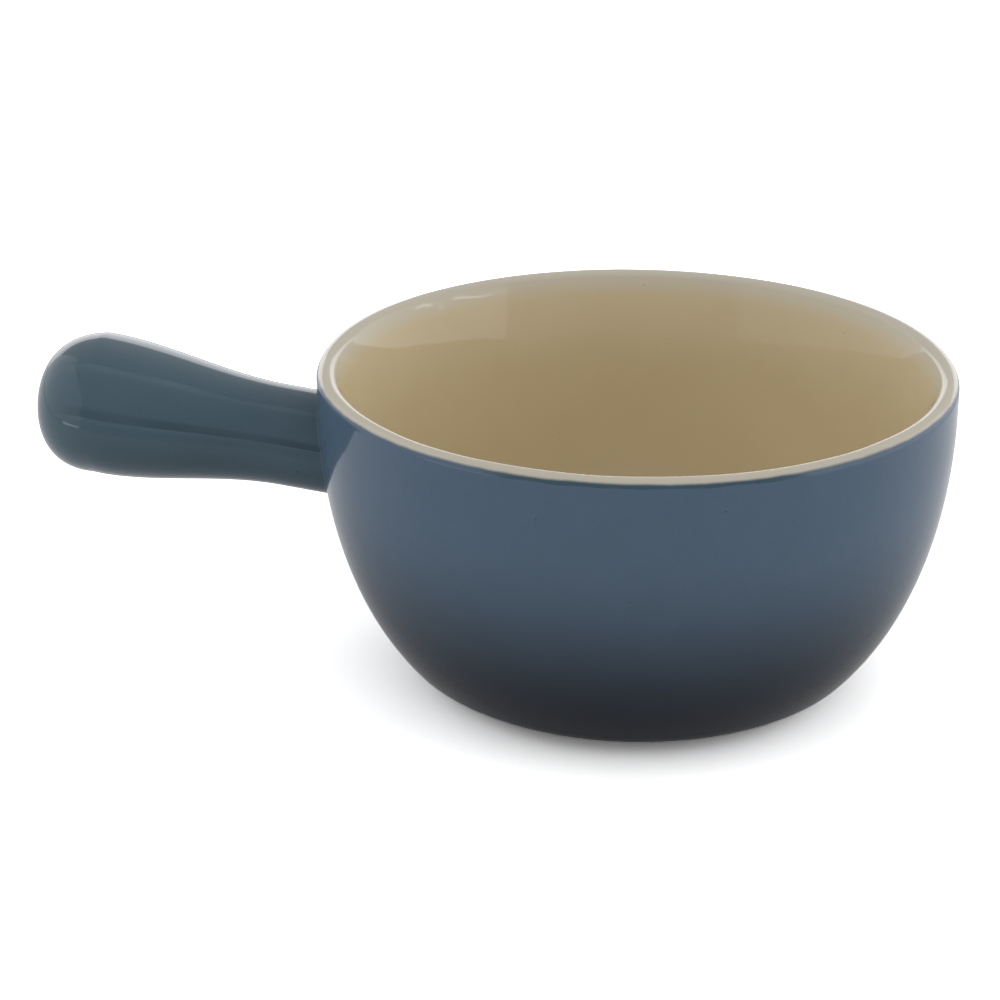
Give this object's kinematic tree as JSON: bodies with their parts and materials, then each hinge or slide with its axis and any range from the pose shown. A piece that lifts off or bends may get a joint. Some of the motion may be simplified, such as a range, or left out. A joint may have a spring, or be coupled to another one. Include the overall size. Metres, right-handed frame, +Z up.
{
  "type": "onion soup bowl",
  "caption": "Round glazed stoneware soup crock with a rounded lip, a low foot ring and one thick fluted paddle handle that swells towards its end.",
  "frame": {"origin": "centre of the foot ring's underside, on the bowl's axis, at table level", "axes": "+Z up along the bowl's axis, the handle points along -X, and +Y is across the handle"},
  "size_m": [0.2114, 0.146, 0.0768],
  "materials": {
    "stoneware": "bare fired stoneware, fine grained and matt, seen only on the foot ring",
    "joining_slip": "fired slip, matt, hidden between the bowl and the handle",
    "cream_glaze": "gloss cream glaze with faint specks",
    "blue_glaze": "gloss slate blue glaze that darkens to charcoal towards the foot",
    "base_glaze": "thin charcoal glaze in the recess inside the foot ring"
  },
  "bodies": {
    "root": {"bowl_body": "stoneware", "handle_body": "stoneware", "slip_joint": "joining_slip", "inner_glaze": "cream_glaze", "outer_glaze": "blue_glaze", "handle_glaze": "blue_glaze", "base_glaze": "base_glaze"}
  },
  "joints": []
}
